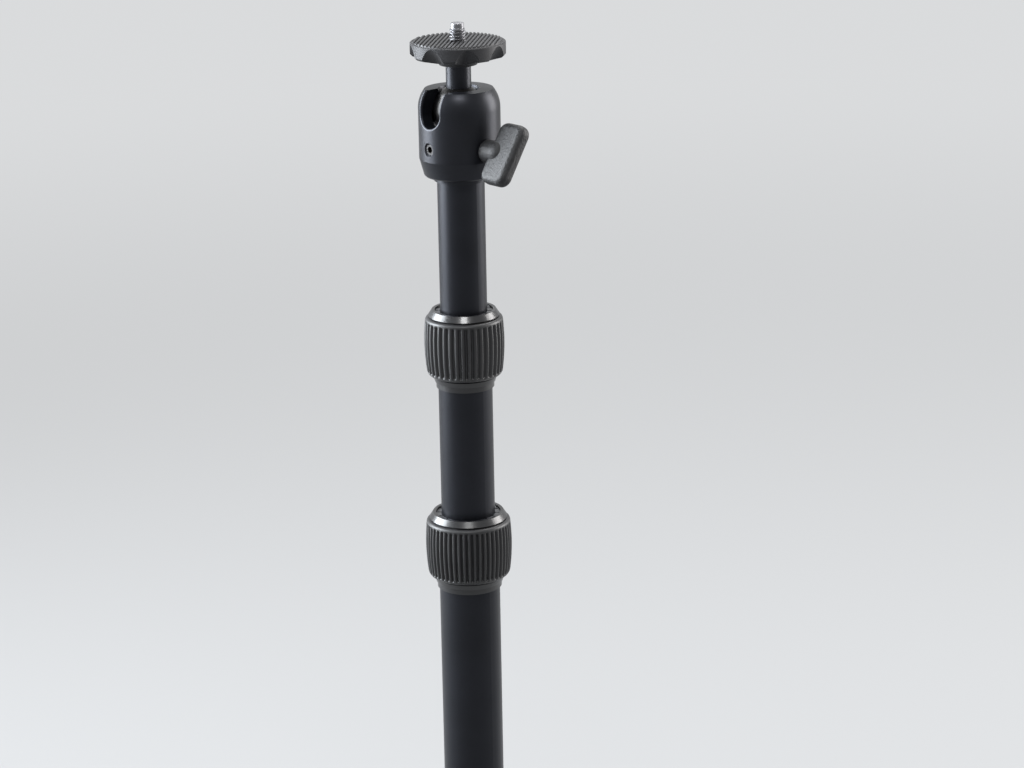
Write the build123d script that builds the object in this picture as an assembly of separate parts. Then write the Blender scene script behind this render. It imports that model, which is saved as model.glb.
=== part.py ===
"""Slim telescopic camera stand: three folding legs, three tubes with two twist locks, and a ball head.

Millimetres, +Z up. The mast axis is Z and the floor is z = 0. The drop slot of the ball head faces -Y
and its lock knob points along +X.
"""

import os
from math import asin, cos, degrees, pi, radians, sin, sqrt

from build123d import *

os.makedirs("parts", exist_ok=True)

# Camera thread and mast tubes: the quarter inch stud sets the scale of everything else
stud_d = 6.35
upper_tube_d = 19.0
tube_wall = 1.2
slide_gap = 0.3
flange_t = 1.9
head_stud_d = 8.0

# Heights along the mast
lower_ring_z = 275.0
ring_spacing = 86.2
head_spacing = 55.3
lower_tube_z = 50.0
middle_tube_len = 200.0
upper_tube_len = 190.0

# Twist locks
ferrule_wall = 1.0
thread_gap = 0.15
nut_wall = 0.8
tube_inset = 12.2
collet_wall = 2.0
collet_slits = 16
slit_w = 0.8
collet_sunk = 0.8
cone_sunk = 4.0
cone_h = 5.0
cone_gap = 0.5
turn_gap = 0.3
ring_h = 2.25
ring_flare = 1.55
ring_taper = 1.5
grip_drop = 2.9
grip_len = 24.4
grip_bulge = 3.3
grip_foot = 2.6
grip_lip = 1.3
groove_deep = 1.0
upper_ribs = 38
lower_ribs = 50

# Ball head
housing_d = 32.6
housing_h = 34.8
rim_d = 27.4
dome_h = 7.7
skirt_h = 7.2
skirt_d = 29.0
ball_d = 21.0
ball_drop = 8.8
mouth_d = 16.6
stem_d = 10.0
slot_gap = 0.3
slot_round = 0.8
mouth_low = 5.0
mouth_flare = 1.0
knob_drop = 22.9
grub_drop = 22.5
grub_d = 4.0
grub_sunk = 0.8

# Camera platform
platform_d = 37.8
platform_side = 6.5
platform_border = 0.9
platform_h = 9.7
platform_rise = 19.2
boss_d = 15.0
scallops = 8
scallop_turn = 16.6
ridge_pitch = 1.6
ridge_turn = 130.6
stud_out = 6.8
stud_lead = 2.0

# Lock knob
paddle_len = 25.4
paddle_deep = 13.9
paddle_thick = 6.0
paddle_start = 4.0
paddle_turn = 31.5
paddle_corner = 4.0
paddle_round = 2.4
knob_hub_d = 9.4
knob_hub_len = 6.4
spindle_d = 5.0

# Folding base
legs = 3
leg_tube_d = 13.0
leg_reach = 143.0
pivot_r = 26.0
pivot_z = 55.0
pivot_pin_d = 5.0
knuckle_w = 10.0
ear_w = 5.0
foot_d = 17.0
foot_squash = 1.5
hub_top_z = 84.0
hub_bottom_z = 44.0

# Shared clearances
run_gap = 0.1
fit_gap = 0.2

# Tube radii, from the inside out
upper_r = upper_tube_d / 2
middle_r = upper_r + tube_wall + slide_gap
lower_r = middle_r + tube_wall + slide_gap

# Levels that follow from the driving heights
upper_ring_z = lower_ring_z + ring_spacing
housing_z = upper_ring_z + head_spacing
rim_z = housing_z + housing_h
ball_z = rim_z - ball_drop
knob_z = rim_z - knob_drop
grub_z = rim_z - grub_drop
top_z = rim_z + platform_rise
housing_r = housing_d / 2
ball_r = ball_d / 2
stem_r = stem_d / 2


def lathe(points):
    """Solid of revolution about Z from radius and height pairs."""
    outline = Polyline([(r, 0, z) for r, z in points], close=True)
    return revolve(make_face(outline), Axis.Z)


def rod(radius, low, high):
    """Upright cylinder on the mast axis between two heights."""
    return Pos(0, 0, (low + high) / 2) * Cylinder(radius, high - low)


def pipe(outer, inner, low, high):
    """Upright ring on the mast axis between two heights."""
    return lathe([(inner, low), (outer, low), (outer, high), (inner, high)])


def along_x(radius, start, end, level):
    """Cylinder along X at one height."""
    turn = Rot(0, 90, 0)
    return Pos((start + end) / 2, 0, level) * turn * Cylinder(radius, end - start)


def along_y(radius, start, end, level):
    """Cylinder along Y at one height."""
    turn = Rot(90, 0, 0)
    return Pos(0, (start + end) / 2, level) * turn * Cylinder(radius, end - start)


def spread(count, piece, turn=0.0):
    """Copies of a piece evenly round the mast axis."""
    return [Rot(0, 0, turn + i * 360 / count) * piece for i in range(count)]


nodes = {}

# Upper, middle and lower mast tubes
tube_top_z = housing_z - flange_t - run_gap
upper_low_z = tube_top_z - upper_tube_len
upper_bore = upper_r - tube_wall
middle_top_z = upper_ring_z - tube_inset
middle_low_z = middle_top_z - middle_tube_len
middle_bore = middle_r - tube_wall
lower_top_z = lower_ring_z - tube_inset
lower_bore = lower_r - tube_wall
nodes["upper_tube"] = pipe(upper_r, upper_bore, upper_low_z, tube_top_z)
nodes["middle_tube"] = pipe(middle_r, middle_bore, middle_low_z, middle_top_z)
nodes["lower_tube"] = pipe(lower_r, lower_bore, lower_tube_z, lower_top_z)


# Guide bush in the lower end of a sliding tube: a flange that runs in the tube outside it
def guide_bush(bore, runs_in, low):
    flange_h = 6.0
    spigot_h = 10.0
    wall = 1.4
    lead_in = 0.4
    edge = runs_in - run_gap
    return lathe(
        [
            (bore - wall, low - flange_h),
            (edge - lead_in, low - flange_h),
            (edge, low - flange_h + 2 * lead_in),
            (edge, low),
            (bore, low),
            (bore, low + spigot_h),
            (bore - wall, low + spigot_h),
        ]
    )


nodes["upper_guide_bush"] = guide_bush(upper_bore, middle_bore, upper_low_z)
nodes["middle_guide_bush"] = guide_bush(middle_bore, lower_bore, middle_low_z)


# Twist lock round one tube end: ferrule, slit collet, nut with its glossy ring, ribbed grip sleeve
def twist_lock(name, inner_r, outer_r, ring_z, ribs):
    ferrule_r = outer_r + ferrule_wall
    nut_bore = ferrule_r + thread_gap
    nut_r = nut_bore + nut_wall
    grip_top = ring_z - grip_drop
    grip_low = grip_top - grip_len
    tube_end = ring_z - tube_inset

    # Ferrule bonded on the tube end, its tapered foot showing below the grip
    foot_top = grip_low - turn_gap
    foot_h = 2.4
    lip_h = 2.3
    lip_t = 0.8
    foot_t = 1.3
    foot_edge = 0.3
    nodes[name + "_lock_ferrule"] = lathe(
        [
            (outer_r, foot_top - foot_h - lip_h),
            (outer_r + lip_t, foot_top - foot_h - lip_h),
            (outer_r + lip_t, foot_top - foot_h),
            (outer_r + foot_t, foot_top - foot_h),
            (nut_r, foot_top - foot_edge),
            (nut_r - foot_edge, foot_top),
            (ferrule_r, foot_top),
            (ferrule_r, tube_end),
            (outer_r, tube_end),
        ]
    )

    # Collet that closes on the inner tube; its slit upper end shows inside the ring
    collet_in = inner_r + run_gap
    collet_out = inner_r + run_gap + collet_wall
    collet_top = ring_z - collet_sunk
    cone_top = ring_z - cone_sunk
    cone_low = cone_top - cone_h
    collet = lathe(
        [
            (collet_in, tube_end),
            (ferrule_r, tube_end),
            (ferrule_r, cone_low),
            (collet_out, cone_top),
            (collet_out, collet_top),
            (collet_in, collet_top),
        ]
    )
    slit_h = collet_top - cone_low
    slit = Pos(inner_r + collet_wall / 2, 0, collet_top - slit_h / 2)
    slit = slit * Box(2 * collet_wall, slit_w, slit_h)
    nodes[name + "_lock_collet"] = collet - spread(collet_slits, slit)

    # Nut that turns on the ferrule and draws its cone over the collet
    mouth = collet_out + thread_gap
    ring_r = nut_r + ring_flare
    ring_edge = 0.4
    nodes[name + "_lock_nut"] = lathe(
        [
            (nut_bore, grip_low + turn_gap),
            (nut_r, grip_low + turn_gap),
            (nut_r, ring_z - ring_h - ring_edge),
            (ring_r, ring_z - ring_h),
            (ring_r - ring_taper, ring_z),
            (mouth, ring_z),
            (mouth, cone_top + cone_gap),
            (nut_bore, cone_low + cone_gap),
        ]
    )

    # Barrel grip: smooth lips at both ends, straight ribs between
    full = nut_r + grip_bulge
    low_z = grip_low + grip_foot
    peak = (full, 0, grip_top - 0.43 * grip_len)
    foot_in = (nut_r, 0, grip_low)
    foot_out = (full - 0.9 * grip_foot, 0, grip_low)
    foot_bend = (full - 0.44 * grip_foot, 0, grip_low + 0.33 * grip_foot)
    belly = (full - 0.23 * grip_foot, 0, low_z)
    shoulder = (full - 0.35 * grip_lip, 0, grip_top - grip_lip)
    lip_bend = (full - 0.5 * grip_lip, 0, grip_top - 0.3 * grip_lip)
    lip_out = (full - 0.92 * grip_lip, 0, grip_top)
    lip_in = (nut_r, 0, grip_top)
    section = ThreePointArc(foot_out, foot_bend, belly) + ThreePointArc(belly, peak, shoulder)
    section += ThreePointArc(shoulder, lip_bend, lip_out)
    section += Polyline(lip_out, lip_in, foot_in, foot_out)
    grip = revolve(make_face(section), Axis.Z)
    rib_pitch = 2 * pi * full / ribs
    groove_top = grip_top - grip_lip - fit_gap
    groove_low = grip_low + grip_foot / 2
    groove_h = groove_top - groove_low
    groove = Box(4 * groove_deep, 0.4 * rib_pitch, groove_h)
    groove = fillet(groove.edges().filter_by(Axis.Y).group_by(Axis.X)[0], 0.9 * groove_deep)
    groove = Pos(full + groove_deep, 0, groove_low + groove_h / 2) * groove
    nodes[name + "_lock_grip"] = grip - spread(ribs, groove)


twist_lock("upper", upper_r, middle_r, upper_ring_z, upper_ribs)
twist_lock("lower", middle_r, lower_r, lower_ring_z, lower_ribs)

# Plug in the top of the upper tube, its flange showing under the head, with the stud the head turns on
flange_top_z = tube_top_z + flange_t
flange_rim = 1.1
flange_r = upper_r + flange_rim
plug_len = 18.0
plug_low_z = tube_top_z - plug_len
head_stud_r = head_stud_d / 2
head_stud_up = 3.9
stud_top_z = housing_z + head_stud_up
plug = lathe(
    [
        (head_stud_r, plug_low_z),
        (upper_bore, plug_low_z),
        (upper_bore, tube_top_z),
        (flange_r, tube_top_z),
        (flange_r, flange_top_z),
        (head_stud_r, flange_top_z),
    ]
)
nodes["tube_top_plug"] = plug
nodes["head_stud"] = rod(head_stud_r, plug_low_z, stud_top_z)

# Head housing: tapered skirt, straight wall, domed shoulder, flat rim with the mouth, drop slot in front
bore_wide = 0.7
bore_r = ball_r + bore_wide
socket_r = ball_r + fit_gap
slot_r = stem_r + slot_gap
rim_r = rim_d / 2
mouth_r = mouth_d / 2
dome_z = rim_z - dome_h
skirt_r = skirt_d / 2
skirt_edge = 0.6
side = Polyline(
    (0, 0, rim_z),
    (0, 0, housing_z),
    (skirt_r - skirt_edge, 0, housing_z),
    (skirt_r, 0, housing_z + skirt_edge),
    (housing_r, 0, housing_z + skirt_h),
    (housing_r, 0, dome_z),
)
dome = TangentArc((housing_r, 0, dome_z), (rim_r, 0, rim_z), tangent=(0, 0, 1))
lid = Line((rim_r, 0, rim_z), (0, 0, rim_z))
housing = revolve(make_face(side + dome + lid), Axis.Z)
housing -= rod(bore_r, housing_z, ball_z)
housing -= Pos(0, 0, ball_z) * Sphere(socket_r)
mouth_h = ball_drop - mouth_low
mouth_cut = Pos(0, 0, rim_z - mouth_h / 2) * Cone(mouth_r - mouth_flare, mouth_r, mouth_h)
housing -= mouth_cut
slot_box = Box(2 * slot_r, housing_d, ball_drop)
housing -= Pos(0, -housing_d / 2, ball_z + ball_drop / 2) * slot_box
housing -= along_y(slot_r, -housing_d, 0, ball_z)
housing -= along_x(spindle_d / 2 + run_gap, ball_r, housing_d, knob_z)
grub_r = grub_d / 2
housing -= along_y(grub_r, -housing_d, -ball_r, grub_z)
sink_h = 1.0
sink = Cone(grub_r, grub_r + sink_h, sink_h)
housing -= Pos(0, -housing_r + 0.3 * sink_h, grub_z) * Rot(90, 0, 0) * sink


def on_slot_rim(edge):
    """True for the edges where the drop slot breaks through the outer wall."""
    mid = edge.center()
    outside = sqrt(mid.X**2 + mid.Y**2) > (rim_r + housing_r) / 2
    in_slot = abs(mid.X) < slot_r + run_gap and grub_z + grub_d < mid.Z < rim_z - run_gap
    return outside and in_slot and mid.Y < 0


nodes["head_housing"] = fillet(housing.edges().filter_by(on_slot_rim), slot_round)

# Grub screw in front, with its hexagon socket
grub_face = grub_sunk - housing_r
grub = along_y(grub_r, grub_face, run_gap - bore_r, grub_z)
socket = extrude(RegularPolygon(0.72 * grub_r, 6), grub_r)
grub -= Pos(0, grub_face, grub_z) * Rot(-90, 0, 0) * socket
nodes["grub_screw"] = grub

# Inside the head: closing plug, spring washer, pressure plug and the seat under the ball
plug_top_z = stud_top_z + turn_gap
closing = rod(bore_r, housing_z, plug_top_z) - rod(head_stud_r + run_gap, housing_z, plug_top_z)
nodes["closing_plug"] = closing
seat_t = 1.3
seat_low_z = ball_z - ball_r + seat_t
press_top_z = seat_low_z - run_gap
press_skin = 2.8
press_low_z = knob_z - spindle_d / 2 - press_skin
spring_t = 0.9
spring_in = 1.3 * head_stud_r
spring_out = bore_r - 5 * run_gap
nodes["spring_washer"] = lathe(
    [
        (spring_in, press_low_z - spring_t),
        (spring_out, plug_top_z),
        (spring_out, plug_top_z + spring_t),
        (spring_in, press_low_z),
    ]
)
press = rod(bore_r - run_gap, press_low_z, press_top_z)
press -= Pos(0, 0, ball_z) * Sphere(ball_r + 2 * fit_gap)
spindle_reach = 0.45 * ball_r
press -= along_x(spindle_d / 2 + fit_gap, spindle_reach, housing_r, knob_z)
nodes["pressure_plug"] = press
seat_top_z = ball_z - stem_r - slot_gap
seat = rod(bore_r - run_gap, seat_low_z, seat_top_z)
nodes["ball_seat"] = seat - Pos(0, 0, ball_z) * Sphere(ball_r + run_gap)

# Ball with a flat and a bore for the stem
flat_h = sqrt(ball_r**2 - stem_r**2) - run_gap
tang_r = 0.7 * stem_r
ball = Pos(0, 0, ball_z) * Sphere(ball_r)
ball -= rod(ball_r, ball_z + flat_h, ball_z + ball_d)
ball -= rod(tang_r + run_gap, ball_z, ball_z + ball_d)
nodes["ball"] = ball

# Stem between ball and platform
boss_z = top_z - platform_h
spigot_r = 0.8 * stem_r
platform_skin = 3.0
spigot_top = top_z - platform_skin
thread_deep = 0.675
shank_r = stud_d / 2 - thread_deep
shank_grip = 5.0
shank_low = spigot_top - shank_grip
stem = lathe(
    [
        (0, ball_z + run_gap),
        (tang_r, ball_z + run_gap),
        (tang_r, ball_z + flat_h + run_gap),
        (stem_r, ball_z + flat_h + run_gap),
        (stem_r, boss_z),
        (spigot_r, boss_z),
        (spigot_r, spigot_top),
        (0, spigot_top),
    ]
)
nodes["ball_stem"] = stem - rod(shank_r, shank_low, spigot_top)

# Camera platform: scalloped side for the fingers, parallel ridges that stand above a narrow border
platform_r = platform_d / 2
boss_r = boss_d / 2
ridge_deep = 0.6
rim_edge = 0.3
low_edge = 1.0
pad_r = platform_r - platform_border
border_z = top_z - ridge_deep
platform = lathe(
    [
        (shank_r, top_z),
        (pad_r - ridge_deep / 2, top_z),
        (pad_r, border_z),
        (platform_r - rim_edge, border_z),
        (platform_r, border_z - rim_edge),
        (platform_r, top_z - platform_side + low_edge),
        (platform_r - low_edge, top_z - platform_side),
        (boss_r + 0.6 * low_edge, boss_z + low_edge),
        (boss_r, boss_z),
        (spigot_r, boss_z),
        (spigot_r, spigot_top),
        (shank_r, spigot_top),
    ]
)
scallop_r = 6.0
scallop_lean = 50.0
scallop_drop = 1.1
scallop_x = platform_r + scallop_r * sin(radians(scallop_lean))
scallop_z = top_z - scallop_drop - scallop_r * cos(radians(scallop_lean))
scallop = Rot(0, 90 - scallop_lean, 0) * Cylinder(scallop_r, 3 * platform_h)
scallop = Pos(scallop_x, 0, scallop_z) * scallop
platform -= spread(scallops, scallop, scallop_turn)
ridge_cuts = 2 * int(pad_r / ridge_pitch) + 1
valley_low = 0.28 * ridge_pitch
valley_top = 0.56 * ridge_pitch
valley = Plane.YZ * Polyline(
    (-valley_low / 2, -ridge_deep),
    (valley_low / 2, -ridge_deep),
    (valley_top / 2, 0),
    (valley_top / 2, ridge_deep),
    (-valley_top / 2, ridge_deep),
    (-valley_top / 2, 0),
    close=True,
)
valley = Pos(-platform_d / 2, 0, 0) * extrude(make_face(valley), platform_d, dir=(1, 0, 0))
first = -(ridge_cuts - 1) / 2 * ridge_pitch
rows = [Pos(0, first + i * ridge_pitch, 0) * valley for i in range(ridge_cuts)]
nodes["camera_platform"] = platform - [Pos(0, 0, top_z) * Rot(0, 0, ridge_turn) * row for row in rows]

# Quarter inch camera screw with a plain lead
lead_z = top_z + stud_out - stud_lead
lead_r = stud_d / 2 - 0.8 * thread_deep
lead_edge = 0.5
nodes["camera_screw"] = lathe(
    [
        (0, shank_low),
        (shank_r, shank_low),
        (shank_r, top_z),
        (stud_d / 2, top_z),
        (stud_d / 2, lead_z),
        (lead_r, lead_z + thread_deep / 2),
        (lead_r, top_z + stud_out - lead_edge),
        (lead_r - lead_edge, top_z + stud_out),
        (0, top_z + stud_out),
    ]
)

# Lock knob: round hub with a domed end running into a flat paddle, on a steel spindle
paddle_x = housing_r + paddle_start + paddle_deep / 2
hub_start = housing_r + 2 * fit_gap
dome_x = hub_start + knob_hub_len
spindle_r = spindle_d / 2
spindle_end = dome_x - fit_gap
knob_hub_r = knob_hub_d / 2
paddle = Box(paddle_deep, paddle_thick, paddle_len)
paddle = fillet(paddle.edges().filter_by(Axis.Y), paddle_corner)
paddle = fillet(paddle.edges().group_by(Axis.Y)[0] + paddle.edges().group_by(Axis.Y)[-1], paddle_round)
knob = Pos(paddle_x, 0, 0) * Rot(-paddle_turn, 0, 0) * paddle
knob += along_x(knob_hub_r, hub_start, dome_x, 0)
knob += Pos(dome_x, 0, 0) * Sphere(knob_hub_r)
knob -= along_x(spindle_r, 0, spindle_end, 0)
nodes["lock_knob"] = Pos(0, 0, knob_z) * knob
tip_x = spindle_reach + 2 * fit_gap
cone_len = 3.0
tip = Cone(spindle_r, 0.3 * spindle_r, cone_len)
spindle = along_x(spindle_r, tip_x + cone_len, spindle_end, knob_z)
spindle += Pos(tip_x + cone_len / 2, 0, knob_z) * Rot(0, -90, 0) * tip
nodes["knob_spindle"] = spindle

# Base hub: socket for the lower tube and three pairs of ears
socket_floor = lower_tube_z
hub_wall = 4.0
hub_lip = 1.6
hub_taper = 8.0
hub_edge = 1.0
hub_r = lower_r + hub_wall
ear_r = 8.0
ears_w = knuckle_w + 2 * run_gap + 2 * ear_w
slot_w = knuckle_w + 2 * run_gap
hub = lathe(
    [
        (0, hub_bottom_z),
        (hub_r - hub_edge, hub_bottom_z),
        (hub_r, hub_bottom_z + hub_edge),
        (hub_r, hub_top_z - hub_taper),
        (lower_r + hub_lip, hub_top_z),
        (0, hub_top_z),
    ]
)
ear_turn = Rot(90, 0, 0)
web_r = 2.5
web_x = hub_r - web_r - hub_edge
web_low = hub_bottom_z + web_r + hub_edge / 2
web_high = pivot_z + ear_r - web_r
stop_out = 4.5
stop_x = pivot_r + stop_out
bracket = make_hull(
    (Pos(pivot_r, pivot_z) * Circle(ear_r)).edges()
    + (Pos(stop_x, web_low) * Circle(web_r)).edges()
    + (Pos(web_x, web_low) * Circle(web_r)).edges()
    + (Pos(web_x, web_high) * Circle(web_r)).edges()
)
ear = Pos(0, ears_w / 2, 0) * ear_turn * extrude(bracket, ears_w)

# Leg geometry: the slope puts the flat under each foot on the floor
foot_r = foot_d / 2
leg_drop = degrees(asin((pivot_z - foot_r + foot_squash) / leg_reach))
leg_place = Pos(pivot_r, 0, pivot_z) * Rot(0, leg_drop, 0)
eye_r = 6.5
arm_len = 14.0
cuff_wall = 1.1
cuff_r = leg_tube_d / 2 + cuff_wall
cuff_len = 16.0
foot_sole = 4.0
tube_end = leg_reach - foot_sole
gap_r = eye_r + 2 * fit_gap
ear_slot = Pos(pivot_r, 0, pivot_z) * ear_turn * Cylinder(gap_r, slot_w)
room = leg_tube_d + arm_len
ear_slot += Pos(pivot_r - gap_r + room / 2, 0, pivot_z + room / 2) * Box(room, slot_w, room)
arm_room = Box(room, slot_w, 2 * gap_r)
ear_slot += leg_place * Pos(room / 2, 0, 0) * arm_room
pin_hole = Pos(pivot_r, 0, pivot_z) * ear_turn * Cylinder(pivot_pin_d / 2, ears_w)
hub += spread(legs, ear, -90)
hub -= spread(legs, ear_slot, -90)
hub -= spread(legs, pin_hole, -90)
hub_bolt_r = 4.0
head_h = 4.0
head_out = 1.0
head_r = 7.0
head_z = hub_bottom_z - head_out
hub -= rod(lower_r, socket_floor, hub_top_z)
hub -= rod(hub_bolt_r, hub_bottom_z, socket_floor)
hub -= rod(head_r + fit_gap, hub_bottom_z, head_z + head_h)
nodes["base_hub"] = hub

# Plug in the foot of the lower tube and the bolt that draws it into the hub
foot_plug_h = 14.0
foot_plug_top = socket_floor + foot_plug_h
bolt_in = 12.0
bolt_key_r = 3.4
bolt_key_deep = 2.5
nodes["tube_foot_plug"] = pipe(lower_bore, hub_bolt_r, socket_floor, foot_plug_top)
hub_bolt = rod(hub_bolt_r, head_z + head_h, socket_floor + bolt_in)
hub_bolt += rod(head_r, head_z, head_z + head_h)
hub_bolt -= Pos(0, 0, head_z) * extrude(RegularPolygon(bolt_key_r, 6), bolt_key_deep)
nodes["hub_bolt"] = hub_bolt

# One leg: moulded knuckle, tube and rubber foot, built along +X and then set at its slope
arm_taper = 1.0
arm = make_hull(Circle(eye_r).edges() + (Pos(arm_len, 0) * Circle(eye_r - arm_taper)).edges())
knuckle = Pos(0, knuckle_w / 2, 0) * ear_turn * extrude(arm, knuckle_w)
neck_len = 4.0
cuff_start = arm_len - cuff_wall
cuff_end = arm_len + cuff_len
neck = Cone(knuckle_w / 2, cuff_r, neck_len)
knuckle += Pos(cuff_start - neck_len / 2, 0, 0) * Rot(0, 90, 0) * neck
knuckle += along_x(cuff_r, cuff_start, cuff_end, 0)
knuckle -= along_x(leg_tube_d / 2, arm_len, cuff_end, 0)
knuckle -= ear_turn * Cylinder(pivot_pin_d / 2 + run_gap, knuckle_w)
leg_tube_wall = 1.0
leg_tube = along_x(leg_tube_d / 2, arm_len, tube_end, 0)
leg_tube -= along_x(leg_tube_d / 2 - leg_tube_wall, arm_len, tube_end, 0)
foot_len = 16.0
foot_start = leg_reach - foot_len
foot_taper = 3.0
foot_lip = 1.0
foot = along_x(foot_r, foot_start + foot_taper, leg_reach, 0)
foot_cone = Rot(0, 90, 0) * Cone(leg_tube_d / 2 + foot_lip, foot_r, foot_taper)
foot += Pos(foot_start + foot_taper / 2, 0, 0) * foot_cone
foot += Pos(leg_reach, 0, 0) * Sphere(foot_r)
foot -= along_x(leg_tube_d / 2, foot_start, tube_end, 0)
floor_cut = Pos(pivot_r + leg_reach, 0, -foot_d) * Box(4 * foot_d, 2 * foot_d, 2 * foot_d)
placed_foot = leg_place * foot - floor_cut
pin = Pos(pivot_r, 0, pivot_z) * ear_turn * Cylinder(pivot_pin_d / 2, ears_w)
pin_head_h = 2.0
pin_head_out = (ears_w + pin_head_h) / 2
pin_head_rim = 1.6
pin_head_r = pivot_pin_d / 2 + pin_head_rim
pin_head = ear_turn * Cylinder(pin_head_r, pin_head_h)
pin += Pos(pivot_r, -pin_head_out, pivot_z) * pin_head
pin += Pos(pivot_r, pin_head_out, pivot_z) * pin_head
for i in range(legs):
    around = Rot(0, 0, -90 + i * 360 / legs)
    number = str(i + 1)
    nodes["leg_knuckle_" + number] = around * leg_place * knuckle
    nodes["leg_tube_" + number] = around * leg_place * leg_tube
    nodes["leg_foot_" + number] = around * placed_foot
    nodes["leg_pin_" + number] = around * pin

for name, shape in nodes.items():
    shape.label = name
    export_step(shape, "parts/" + name + ".step")
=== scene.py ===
import math

import bpy
import numpy as np
from mathutils import Matrix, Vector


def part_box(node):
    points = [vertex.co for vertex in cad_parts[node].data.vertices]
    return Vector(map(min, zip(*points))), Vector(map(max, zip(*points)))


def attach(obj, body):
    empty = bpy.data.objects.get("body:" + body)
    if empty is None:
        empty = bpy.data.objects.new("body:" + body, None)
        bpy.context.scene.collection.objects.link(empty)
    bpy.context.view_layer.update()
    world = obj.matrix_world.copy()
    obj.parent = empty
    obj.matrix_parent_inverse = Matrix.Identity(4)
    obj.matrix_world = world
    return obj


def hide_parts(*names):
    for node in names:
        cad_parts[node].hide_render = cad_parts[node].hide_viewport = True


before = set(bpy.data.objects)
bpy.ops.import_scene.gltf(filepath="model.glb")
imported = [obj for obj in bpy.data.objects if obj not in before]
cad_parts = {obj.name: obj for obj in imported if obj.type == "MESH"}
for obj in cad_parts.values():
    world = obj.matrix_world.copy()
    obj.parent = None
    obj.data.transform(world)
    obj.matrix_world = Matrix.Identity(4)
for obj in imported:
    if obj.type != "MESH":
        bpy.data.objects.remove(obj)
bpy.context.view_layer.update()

# Base hub and leg knuckles: glass-filled nylon mouldings with a fine spark-eroded grain.
# The hub is drawn up round the lower tube by one bolt, and each knuckle swings between two of its ears.


def moulding(name, colour, rough, grain, depth, mottle=0.25, metal=0.0, cloud=45.0):
    """Surface with a fine isotropic grain: noise of the given size bumps it, and a second noise, cloud
    per metre, drifts colour and roughness the way handling and mould flow do."""
    finish = bpy.data.materials.new(name)
    finish.use_nodes = True
    tree = finish.node_tree
    skin = tree.nodes["Principled BSDF"]
    skin.inputs["Metallic"].default_value = metal
    place = tree.nodes.new("ShaderNodeTexCoord")
    fine = tree.nodes.new("ShaderNodeTexNoise")
    fine.inputs["Scale"].default_value = 1.0 / grain
    fine.inputs["Detail"].default_value = 3.0
    wide = tree.nodes.new("ShaderNodeTexNoise")
    wide.inputs["Scale"].default_value = cloud
    wide.inputs["Detail"].default_value = 5.0
    tree.links.new(place.outputs["Object"], fine.inputs["Vector"])
    tree.links.new(place.outputs["Object"], wide.inputs["Vector"])
    tint = tree.nodes.new("ShaderNodeValToRGB")
    low = [c * (1.0 - mottle) for c in colour]
    high = [c * (1.0 + mottle) for c in colour]
    tint.color_ramp.elements[0].position = 0.3
    tint.color_ramp.elements[1].position = 0.7
    tint.color_ramp.elements[0].color = (*low, 1.0)
    tint.color_ramp.elements[1].color = (*high, 1.0)
    tree.links.new(wide.outputs["Fac"], tint.inputs["Fac"])
    tree.links.new(tint.outputs["Color"], skin.inputs["Base Color"])
    dull = tree.nodes.new("ShaderNodeMapRange")
    sway = 0.07
    dull.inputs["To Min"].default_value = rough - sway
    dull.inputs["To Max"].default_value = rough + sway
    tree.links.new(wide.outputs["Fac"], dull.inputs["Value"])
    tree.links.new(dull.outputs["Result"], skin.inputs["Roughness"])
    dimple = tree.nodes.new("ShaderNodeBump")
    dimple.inputs["Strength"].default_value = 0.6
    dimple.inputs["Distance"].default_value = depth
    tree.links.new(fine.outputs["Fac"], dimple.inputs["Height"])
    tree.links.new(dimple.outputs["Normal"], skin.inputs["Normal"])
    return finish


def dress(finish, *names):
    """Gives CAD nodes their finish in place of the plain packed one."""
    for name in names:
        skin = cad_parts[name].data
        skin.materials.clear()
        skin.materials.append(finish)


hub_nylon = moulding("hub_nylon", (0.022, 0.022, 0.025), 0.50, 0.0007, 0.00006)
dress(hub_nylon, "base_hub", "leg_knuckle_1", "leg_knuckle_2", "leg_knuckle_3")

# Leg pins: shouldered screws with domed heads, one of them with a hexagon socket, in black oxide.
# They pinch the knuckles between the ears, so a leg stays where it is set.


def closed_rod(name, points):
    """Mesh of a grid whose rows are rings: quads between the rings, and a fan from the middle of the
    first and of the last ring to close the ends."""
    rows, cols = points.shape[:2]
    ends = np.stack([points[0].mean(axis=0), points[-1].mean(axis=0)])
    flat = np.concatenate([points.reshape(-1, 3), ends])
    i, j = np.meshgrid(np.arange(rows - 1), np.arange(cols), indexing="ij")
    on = (j + 1) % cols
    quads = np.stack([i * cols + j, i * cols + on, (i + 1) * cols + on, (i + 1) * cols + j], axis=-1)
    k = np.arange(cols)
    last = (rows - 1) * cols
    first_fan = np.stack([np.full(cols, rows * cols), (k + 1) % cols, k], axis=-1)
    last_fan = np.stack([np.full(cols, rows * cols + 1), last + k, last + (k + 1) % cols], axis=-1)
    faces = quads.reshape(-1, 4).tolist() + first_fan.tolist() + last_fan.tolist()
    mesh = bpy.data.meshes.new(name)
    mesh.from_pydata(flat.tolist(), [], faces)
    mesh.polygons.foreach_set("use_smooth", np.ones(len(faces), bool))
    mesh.update()
    mesh.set_sharp_from_angle(angle=math.radians(35.0))
    piece = bpy.data.objects.new(name, mesh)
    bpy.context.scene.collection.objects.link(piece)
    return piece


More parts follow.
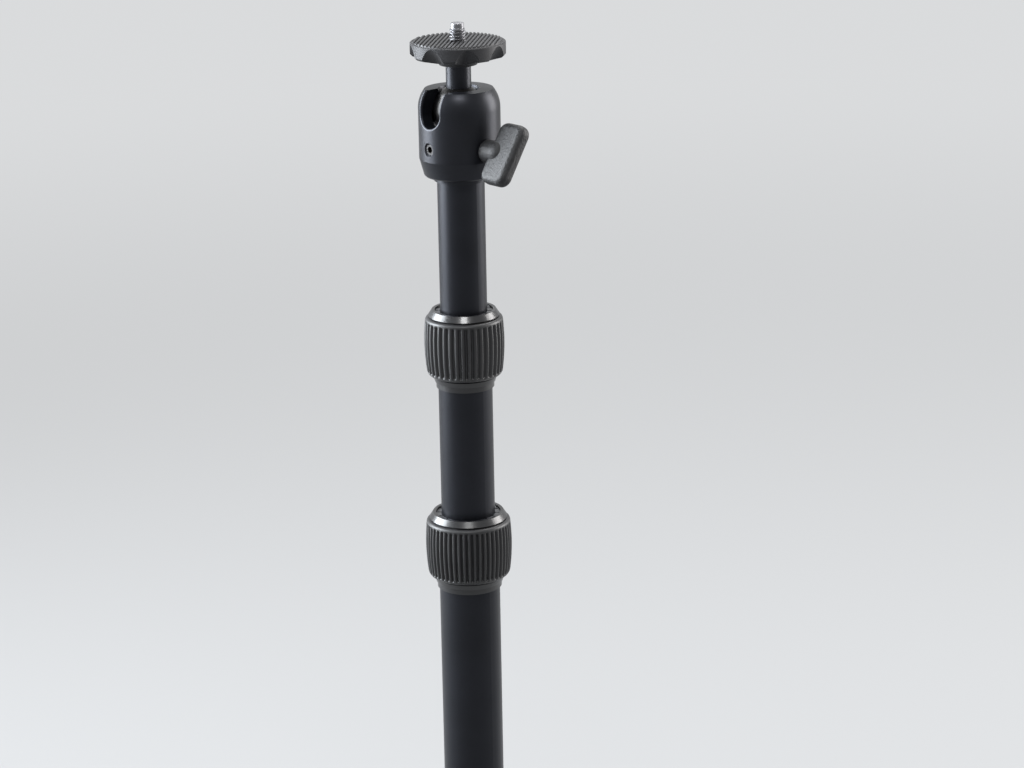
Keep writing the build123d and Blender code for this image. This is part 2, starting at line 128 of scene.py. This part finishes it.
def socket_pin(name, node, turn):
    """Pin along X: rings step from the socket's floor out over one domed head, along the shank and in
    over the other head. The socket's rings follow a hexagon, whose radius is its inner radius over the
    cosine of the angle from the middle of a side. The whole is turned about Z and set on the node."""
    low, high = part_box(node)
    half = 0.0121
    head, shank, hexagon = 0.0041, 0.0025, 0.0017
    head_t, socket_deep = 0.002, 0.0014
    edge, crown = 0.0012, 0.0008
    bend = np.linspace(0.0, np.pi / 2.0, 7)
    dome_r = head - edge + edge * np.sin(bend)
    dome_s = crown * (1.0 - np.cos(bend))
    radius = np.concatenate([[hexagon, hexagon], dome_r, [head, shank, shank, head], dome_r[::-1]])
    under = half - head_t
    station = np.concatenate(
        [[-half + socket_deep, -half], -half + dome_s, [-under, -under, under, under], half - dome_s[::-1]]
    )
    angle = np.linspace(0.0, 2.0 * np.pi, 48, endpoint=False)
    side = np.mod(angle, np.pi / 3.0) - np.pi / 6.0
    grid = np.repeat(radius[:, None], len(angle), axis=1)
    grid[:2] = hexagon / np.cos(side)
    along = np.repeat(station[:, None], len(angle), axis=1)
    points = np.stack([along, grid * np.cos(angle), grid * np.sin(angle)], axis=-1)
    c, s = math.cos(turn), math.sin(turn)
    swivel = np.array([[c, s, 0.0], [-s, c, 0.0], [0.0, 0.0, 1.0]])
    middle = np.array([(low.x + high.x) / 2.0, (low.y + high.y) / 2.0, (low.z + high.z) / 2.0])
    piece = closed_rod(name, points @ swivel + middle)
    piece.data.materials.append(black_oxide)
    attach(piece, "base")
    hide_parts(node)


black_oxide = moulding("black_oxide", (0.030, 0.029, 0.029), 0.32, 0.0005, 0.00001, 0.3, 0.85)
for leg in range(3):
    socket_pin("pin_" + str(leg + 1), "leg_pin_" + str(leg + 1), leg * 2.0 * math.pi / 3.0)
dress(black_oxide, "hub_bolt", "ball", "grub_screw")

# Leg tubes and mast tubes: drawn aluminium, satin black anodised.
# Drawing leaves faint lines along each tube, and the skin has a cool, even sheen.


def anodised(name, colour, rough, metal, squeeze, detail, cloud_scale, sway, strength):
    """Anodised skin with tool marks: noise squeezed by a scale per axis, so that it reads as long streaks
    or as fine rings, drives a very shallow bump and the roughness. A wide noise lets the black drift."""
    finish = bpy.data.materials.new(name)
    finish.use_nodes = True
    tree = finish.node_tree
    skin = tree.nodes["Principled BSDF"]
    skin.inputs["Metallic"].default_value = metal
    skin.inputs["Specular IOR Level"].default_value = 0.45
    place = tree.nodes.new("ShaderNodeTexCoord")
    draw = tree.nodes.new("ShaderNodeMapping")
    draw.inputs["Scale"].default_value = squeeze
    tree.links.new(place.outputs["Object"], draw.inputs["Vector"])
    mark = tree.nodes.new("ShaderNodeTexNoise")
    mark.inputs["Scale"].default_value = 1.0
    mark.inputs["Detail"].default_value = detail
    tree.links.new(draw.outputs["Vector"], mark.inputs["Vector"])
    cloud = tree.nodes.new("ShaderNodeTexNoise")
    cloud.inputs["Scale"].default_value = cloud_scale
    cloud.inputs["Detail"].default_value = 4.0
    tree.links.new(place.outputs["Object"], cloud.inputs["Vector"])
    tint = tree.nodes.new("ShaderNodeValToRGB")
    tint.color_ramp.elements[0].position = 0.25
    tint.color_ramp.elements[1].position = 0.75
    tint.color_ramp.elements[0].color = (*[c * 0.85 for c in colour], 1.0)
    tint.color_ramp.elements[1].color = (*[c * 1.15 for c in colour], 1.0)
    tree.links.new(cloud.outputs["Fac"], tint.inputs["Fac"])
    tree.links.new(tint.outputs["Color"], skin.inputs["Base Color"])
    dull = tree.nodes.new("ShaderNodeMapRange")
    dull.inputs["To Min"].default_value = rough - sway
    dull.inputs["To Max"].default_value = rough + sway
    tree.links.new(mark.outputs["Fac"], dull.inputs["Value"])
    tree.links.new(dull.outputs["Result"], skin.inputs["Roughness"])
    line = tree.nodes.new("ShaderNodeBump")
    line.inputs["Strength"].default_value = strength
    line.inputs["Distance"].default_value = 0.00002
    tree.links.new(mark.outputs["Fac"], line.inputs["Height"])
    tree.links.new(line.outputs["Normal"], skin.inputs["Normal"])
    return finish


draw_lines = (1600.0, 1600.0, 9.0)
mast_skin = anodised("mast_skin", (0.013, 0.014, 0.018), 0.40, 0.75, draw_lines, 4.0, 60.0, 0.06, 0.35)
dress(mast_skin, "lower_tube", "middle_tube", "upper_tube")
leg_skin = moulding("leg_skin", (0.014, 0.015, 0.018), 0.36, 0.0004, 0.00001, 0.15, 0.75)
dress(leg_skin, "leg_tube_1", "leg_tube_2", "leg_tube_3")

# Feet: moulded rubber boots pushed over the leg ends, flat where they stand.
# Rubber keeps a chalky bloom, so it is the dullest surface of the stand.
boot_rubber = moulding("boot_rubber", (0.020, 0.020, 0.021), 0.82, 0.0006, 0.00008, 0.35)
dress(boot_rubber, "leg_foot_1", "leg_foot_2", "leg_foot_3")

# Ferrules and lock nuts: polished black mouldings, bonded or screwed on the tube ends.
# Each nut's upper lip is the glossy ring that shows above the ribbed grip.
lock_gloss = moulding("lock_gloss", (0.008, 0.008, 0.009), 0.30, 0.0012, 0.000004, 0.2)
lock_gloss.node_tree.nodes["Principled BSDF"].inputs["Coat Weight"].default_value = 0.15
lock_gloss.node_tree.nodes["Principled BSDF"].inputs["Coat Roughness"].default_value = 0.12
dress(lock_gloss, "lower_lock_nut", "upper_lock_nut", "lower_lock_ferrule", "upper_lock_ferrule")

# Collets: slit acetal rings that close on the inner tube; their upper ends show inside the rings.
# Guide bushes, ball seat and foot plug are the same stuff uncoloured, all hidden inside.
collet_acetal = moulding("collet_acetal", (0.060, 0.062, 0.068), 0.38, 0.0006, 0.00003)
dress(collet_acetal, "lower_lock_collet", "upper_lock_collet")
plain_acetal = moulding("plain_acetal", (0.32, 0.32, 0.33), 0.45, 0.0006, 0.00003, 0.08)
dress(plain_acetal, "upper_guide_bush", "middle_guide_bush", "ball_seat", "tube_foot_plug")

# Ribbed grips: soft rubber barrels moulded over the lock nuts, smooth at both lips.
# The ribs are full and round with a narrow valley between, and fade out towards each lip.


def ring_mesh(name, radius, height, angle):
    """Closed ring from a grid: rows go once round the section, columns once round the mast axis.
    A point is (radius cos angle, radius sin angle, height), and both directions join up."""
    rows, cols = radius.shape
    points = np.stack([radius * np.cos(angle), radius * np.sin(angle), height], axis=-1).reshape(-1, 3)
    i, j = np.meshgrid(np.arange(rows), np.arange(cols), indexing="ij")
    up = (i + 1) % rows
    on = (j + 1) % cols
    quads = np.stack([i * cols + j, i * cols + on, up * cols + on, up * cols + j], axis=-1).reshape(-1, 4)
    mesh = bpy.data.meshes.new(name)
    mesh.from_pydata(points.tolist(), [], quads.tolist())
    mesh.polygons.foreach_set("use_smooth", np.ones(len(quads), bool))
    mesh.update()
    piece = bpy.data.objects.new(name, mesh)
    bpy.context.scene.collection.objects.link(piece)
    return piece


def barrel_grip(name, node, bore, ribs):
    """Barrel with ribs: the section's outer line bows from the lower edge over the widest place, a
    little above the middle, to the upper lip, with both corners rounded. Each valley is a cosine lobe
    raised to a power, so that crests are broad and valleys narrow, times a fade at both ends."""
    low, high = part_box(node)
    tall = high.z - low.z
    widest = (high.x - low.x) / 2.0
    belly, bow_in = 0.57, 0.0011
    lower_share, lower_in = 0.085, 0.0016
    upper_share, upper_in = 0.05, 0.0012
    rib_low, rib_low_run, rib_high, rib_high_run = 0.045, 0.05, 0.945, 0.035
    valley_deep, valley_power, steps = 0.0010, 1.6, 14
    t = np.linspace(0.0, 1.0, 81)
    bow = widest - bow_in * np.abs((t - belly) / belly) ** 2.0
    lower_round = 1.0 - np.sqrt(1.0 - np.clip(1.0 - t / lower_share, 0.0, 1.0) ** 2)
    upper_round = 1.0 - np.sqrt(1.0 - np.clip(1.0 - (1.0 - t) / upper_share, 0.0, 1.0) ** 2)
    outer = bow - lower_in * lower_round - upper_in * upper_round
    rows_r = np.concatenate([outer, [bore, bore]])
    rows_z = np.concatenate([low.z + tall * t, [high.z, low.z]])
    fade_in = np.clip((t - rib_low) / rib_low_run, 0.0, 1.0)
    fade_out = np.clip((rib_high - t) / rib_high_run, 0.0, 1.0)
    fade = fade_in * fade_out
    fade = np.concatenate([fade * fade * (3.0 - 2.0 * fade), [0.0, 0.0]])
    angle = np.linspace(0.0, 2.0 * np.pi, ribs * steps, endpoint=False)
    valley = (0.5 + 0.5 * np.cos(ribs * angle)) ** valley_power
    radius = rows_r[:, None] - valley_deep * fade[:, None] * valley[None, :]
    height = np.repeat(rows_z[:, None], len(angle), axis=1)
    piece = ring_mesh(name, radius, height, np.repeat(angle[None, :], len(rows_r), axis=0))
    piece.data.set_sharp_from_angle(angle=math.radians(50.0))
    piece.data.materials.append(grip_rubber)
    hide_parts(node)
    return piece


grip_rubber = moulding("grip_rubber", (0.009, 0.009, 0.010), 0.46, 0.0005, 0.00003, 0.3)
grip_rubber.node_tree.nodes["Principled BSDF"].inputs["Sheen Weight"].default_value = 0.04
lower_bore, lower_ribs = 0.01445, 50
upper_bore, upper_ribs = 0.01295, 38
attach(barrel_grip("lower_grip", "lower_lock_grip", lower_bore, lower_ribs), "lower_lock")
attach(barrel_grip("upper_grip", "upper_lock_grip", upper_bore, upper_ribs), "upper_lock")

# Ball head: turned aluminium housing, satin black, with the faint rings that a lathe leaves.
# The plug below it closes the tube, and the stem above it is turned from the same bar.
lathe_rings = (30.0, 30.0, 5200.0)
head_skin = anodised("head_skin", (0.013, 0.014, 0.018), 0.38, 0.7, lathe_rings, 3.0, 80.0, 0.05, 0.25)
dress(head_skin, "head_housing", "tube_top_plug", "closing_plug", "ball_stem")

# Inside the head: a brass pressure plug and bright steel stud, spindle and spring washer.
# None of them shows with the head closed.
plug_brass = moulding("plug_brass", (0.60, 0.43, 0.17), 0.30, 0.0004, 0.00001, 0.12, 1.0)
dress(plug_brass, "pressure_plug")
bright_steel = moulding("bright_steel", (0.62, 0.62, 0.64), 0.24, 0.0003, 0.00001, 0.06, 1.0)
dress(bright_steel, "knob_spindle", "head_stud", "spring_washer")

# Lock knob: dark grey nylon paddle with a coarse leather-like grain, moulded on its spindle.
# The grain catches the side light, so it reads lighter than the housing.
knob_nylon = moulding("knob_nylon", (0.010, 0.010, 0.011), 0.56, 0.0009, 0.00040, 0.5, 0.0, 700.0)
knob_nylon.node_tree.nodes["Principled BSDF"].inputs["Specular IOR Level"].default_value = 0.36
dress(knob_nylon, "lock_knob")

# Camera platform: die-cast disc, bead blasted and black coated, with machined ridges on top.
# Its skin is matte with a fine cast grain.
platform_coat = moulding("platform_coat", (0.020, 0.020, 0.022), 0.50, 0.0012, 0.000004, 0.25, 0.3)
dress(platform_coat, "camera_platform")

# Camera screw: quarter inch stud with four visible turns of thread and a plain lead, zinc plated.
# It is screwed down through the platform into the stem.


def stud_mesh(name, base, tip, major, minor, lead_r, pitch):
    """Screw surface: at each angle and height the radius swings between minor and major with the
    distance to the nearest turn of a helix, smoothed at crest and root, and runs out into the plain
    lead. The tip is rounded over by a quarter circle, and a point at each end closes the surface."""
    tall = tip - base
    t = np.linspace(0.0, 1.0, 261)
    angle = np.linspace(0.0, 2.0 * np.pi, 96, endpoint=False)
    height = base + tall * np.repeat(t[:, None], len(angle), axis=1)
    turn = (height - base) / pitch - angle[None, :] / (2.0 * np.pi)
    gap = np.abs(turn - np.floor(turn) - 0.5) * 2.0
    flank = np.clip(gap * 1.5 - 0.15, 0.0, 1.0)
    thread = minor + (major - minor) * flank * flank * (3.0 - 2.0 * flank)
    lead_len, run_len, nose = 0.0021, 0.0005, 0.0005
    run_out = np.clip((tip - lead_len - height) / run_len, 0.0, 1.0)
    radius = lead_r + (thread - lead_r) * run_out
    over = np.clip(1.0 - (tip - height) / nose, 0.0, 1.0)
    radius = radius - nose * (1.0 - np.sqrt(1.0 - over**2))
    return closed_rod(name, np.stack([radius * np.cos(angle), radius * np.sin(angle), height], axis=-1))


screw_low, screw_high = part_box("camera_screw")
stud_foot = screw_low.z + 0.001
major_r, minor_r, lead_r, pitch = 0.003175, 0.00245, 0.0026, 0.00127
stud = stud_mesh("camera_stud", stud_foot, screw_high.z, major_r, minor_r, lead_r, pitch)
stud_plate = moulding("stud_plate", (0.19, 0.19, 0.20), 0.44, 0.004, 0.000002, 0.06, 1.0)
stud.data.materials.append(stud_plate)
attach(stud, "camera_mount")
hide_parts("camera_screw")

# Floor and background: plain matte paper under the stand, which keeps the stand's shadow.
# Both are pale only to the camera, in reflections and through glass, so they add no light.
reach = 9.0
corners = [(-reach, -reach, 0.0), (reach, -reach, 0.0), (reach, reach, 0.0), (-reach, reach, 0.0)]
floor_mesh = bpy.data.meshes.new("floor")
floor_mesh.from_pydata(corners, [], [(0, 1, 2, 3)])
floor = bpy.data.objects.new("floor", floor_mesh)
bpy.context.scene.collection.objects.link(floor)
floor_paint = bpy.data.materials.new("floor_paint")
floor_paint.use_nodes = True
floor_tree = floor_paint.node_tree
matte = floor_tree.nodes["Principled BSDF"]
matte.inputs["Base Color"].default_value = (0.34, 0.345, 0.35, 1.0)
matte.inputs["Roughness"].default_value = 0.9
paper_colour = (0.70, 0.71, 0.72, 1.0)
pale = floor_tree.nodes.new("ShaderNodeEmission")
pale.inputs["Color"].default_value = paper_colour
pale.inputs["Strength"].default_value = 1.0


def seen_directly(tree, share):
    """Share of the pale look that camera, glossy and transmission rays get, and no other ray."""
    path = tree.nodes.new("ShaderNodeLightPath")
    both = tree.nodes.new("ShaderNodeMath")
    both.operation = "MAXIMUM"
    every = tree.nodes.new("ShaderNodeMath")
    every.operation = "MAXIMUM"
    part = tree.nodes.new("ShaderNodeMath")
    part.operation = "MULTIPLY"
    part.inputs[1].default_value = share
    tree.links.new(path.outputs["Is Camera Ray"], both.inputs[0])
    tree.links.new(path.outputs["Is Glossy Ray"], both.inputs[1])
    tree.links.new(both.outputs[0], every.inputs[0])
    tree.links.new(path.outputs["Is Transmission Ray"], every.inputs[1])
    tree.links.new(every.outputs[0], part.inputs[0])
    return part.outputs[0]


# Far from the stand the floor runs out into the background, to the camera alone.
floor_place = floor_tree.nodes.new("ShaderNodeTexCoord")
floor_way = floor_tree.nodes.new("ShaderNodeVectorMath")
floor_way.operation = "LENGTH"
floor_tree.links.new(floor_place.outputs["Object"], floor_way.inputs[0])
fade = floor_tree.nodes.new("ShaderNodeMapRange")
fade.interpolation_type = "SMOOTHSTEP"
fade_from, fade_to, near_share = 0.45, 2.4, 0.70
fade.inputs["From Min"].default_value = fade_from
fade.inputs["From Max"].default_value = fade_to
floor_tree.links.new(floor_way.outputs["Value"], fade.inputs["Value"])
floor_rays = floor_tree.nodes.new("ShaderNodeLightPath")
faded = floor_tree.nodes.new("ShaderNodeMath")
faded.operation = "MULTIPLY"
floor_tree.links.new(fade.outputs["Result"], faded.inputs[0])
floor_tree.links.new(floor_rays.outputs["Is Camera Ray"], faded.inputs[1])
pale_share = floor_tree.nodes.new("ShaderNodeMix")
pale_share.data_type = "FLOAT"
floor_tree.links.new(faded.outputs[0], pale_share.inputs["Factor"])
floor_tree.links.new(seen_directly(floor_tree, near_share), pale_share.inputs["A"])
pale_share.inputs["B"].default_value = 1.0

floor_mix = floor_tree.nodes.new("ShaderNodeMixShader")
floor_tree.links.new(pale_share.outputs["Result"], floor_mix.inputs["Fac"])
floor_tree.links.new(matte.outputs["BSDF"], floor_mix.inputs[1])
floor_tree.links.new(pale.outputs["Emission"], floor_mix.inputs[2])
floor_tree.links.new(floor_mix.outputs["Shader"], floor_tree.nodes["Material Output"].inputs["Surface"])
floor_mesh.materials.append(floor_paint)

world = bpy.data.worlds.new("studio")
world.use_nodes = True
bpy.context.scene.world = world
sky_tree = world.node_tree
sky = sky_tree.nodes["Background"]
sky.inputs["Color"].default_value = (0.80, 0.84, 0.90, 1.0)
sky.inputs["Strength"].default_value = 0.28
paper = sky_tree.nodes.new("ShaderNodeBackground")
paper.inputs["Color"].default_value = paper_colour
paper.inputs["Strength"].default_value = 1.0
sky_mix = sky_tree.nodes.new("ShaderNodeMixShader")
sky_tree.links.new(seen_directly(sky_tree, 1.0), sky_mix.inputs["Fac"])
sky_tree.links.new(sky.outputs["Background"], sky_mix.inputs[1])
sky_tree.links.new(paper.outputs["Background"], sky_mix.inputs[2])
sky_tree.links.new(sky_mix.outputs["Shader"], sky_tree.nodes["World Output"].inputs["Surface"])

# Lamps: a large cool one with a grid at the left, a weaker one at the right, one above and behind,
# and a small strip over the camera for the glint on the lock rings.
photo_side = math.radians(50.0)


def softbox(name, azimuth, distance, height, size, power, colour, spread=180.0):
    """Rectangular lamp at an angle round the mast from the photo's side, aimed at the mast's upper part.
    A spread under 180 degrees is a grid on the lamp: it keeps the light off the floor beside it."""
    aim_height = 0.36
    lamp = bpy.data.lights.new(name, "AREA")
    lamp.shape = "RECTANGLE"
    lamp.size = size[0]
    lamp.size_y = size[1]
    lamp.energy = power
    lamp.color = colour
    lamp.spread = math.radians(spread)
    stand = bpy.data.objects.new(name, lamp)
    around = photo_side + math.radians(azimuth)
    spot = np.array([math.sin(around) * distance, -math.cos(around) * distance, height])
    aim = np.array([0.0, 0.0, aim_height]) - spot
    aim = aim / np.linalg.norm(aim)
    side = np.cross(aim, [0.0, 0.0, 1.0])
    side = side / np.linalg.norm(side)
    rise = np.cross(side, aim)
    pose = np.eye(4)
    pose[:3, 0] = side
    pose[:3, 1] = rise
    pose[:3, 2] = -aim
    pose[:3, 3] = spot
    stand.matrix_world = Matrix(pose.tolist())
    bpy.context.scene.collection.objects.link(stand)


softbox("left_box", -100.0, 1.1, 0.70, (0.80, 1.1), 32.0, (0.90, 0.95, 1.0), 120.0)
softbox("right_box", 106.0, 1.3, 0.65, (0.60, 1.0), 24.0, (1.0, 0.98, 0.97))
softbox("top_box", 165.0, 0.7, 1.5, (0.8, 0.6), 14.0, (1.0, 1.0, 1.0))
softbox("front_box", 0.0, 0.75, 1.29, (0.34, 0.10), 6.0, (1.0, 1.0, 1.0))

# Camera: at the photo's viewing angle, about 1.1 m off with a long lens, rolled one degree.
# Distance, height and angles are those that put the mast where the photo has it.
lens_px, photo_px, sensor = 2832.0, 1024.0, 36.0
away, eye_height = 1.10176, 0.66358
camera_data = bpy.data.cameras.new("photo_camera")
camera_data.sensor_fit = "HORIZONTAL"
camera_data.sensor_width = sensor
camera_data.lens = lens_px / photo_px * sensor
camera_data.clip_start = 0.05
camera_data.clip_end = 60.0
camera = bpy.data.objects.new("photo_camera", camera_data)
dip, roll, yaw = math.radians(16.8935), math.radians(-1.0091), math.radians(0.9844)
look = np.array([math.sin(yaw) * math.cos(dip), math.cos(yaw) * math.cos(dip), -math.sin(dip)])
right = np.array([math.cos(yaw), -math.sin(yaw), 0.0])
upward = np.cross(right, look)
across = right * math.cos(roll) + upward * math.sin(roll)
upright = -right * math.sin(roll) + upward * math.cos(roll)
swing = np.array(
    [
        [math.cos(photo_side), -math.sin(photo_side), 0.0],
        [math.sin(photo_side), math.cos(photo_side), 0.0],
        [0.0, 0.0, 1.0],
    ]
)
view = np.eye(4)
view[:3, 0] = swing @ across
view[:3, 1] = swing @ upright
view[:3, 2] = -(swing @ look)
view[:3, 3] = swing @ np.array([0.0, -away, eye_height])
camera.matrix_world = Matrix(view.tolist())
bpy.context.scene.collection.objects.link(camera)
bpy.context.scene.camera = camera
bpy.context.scene.view_settings.view_transform = "Standard"
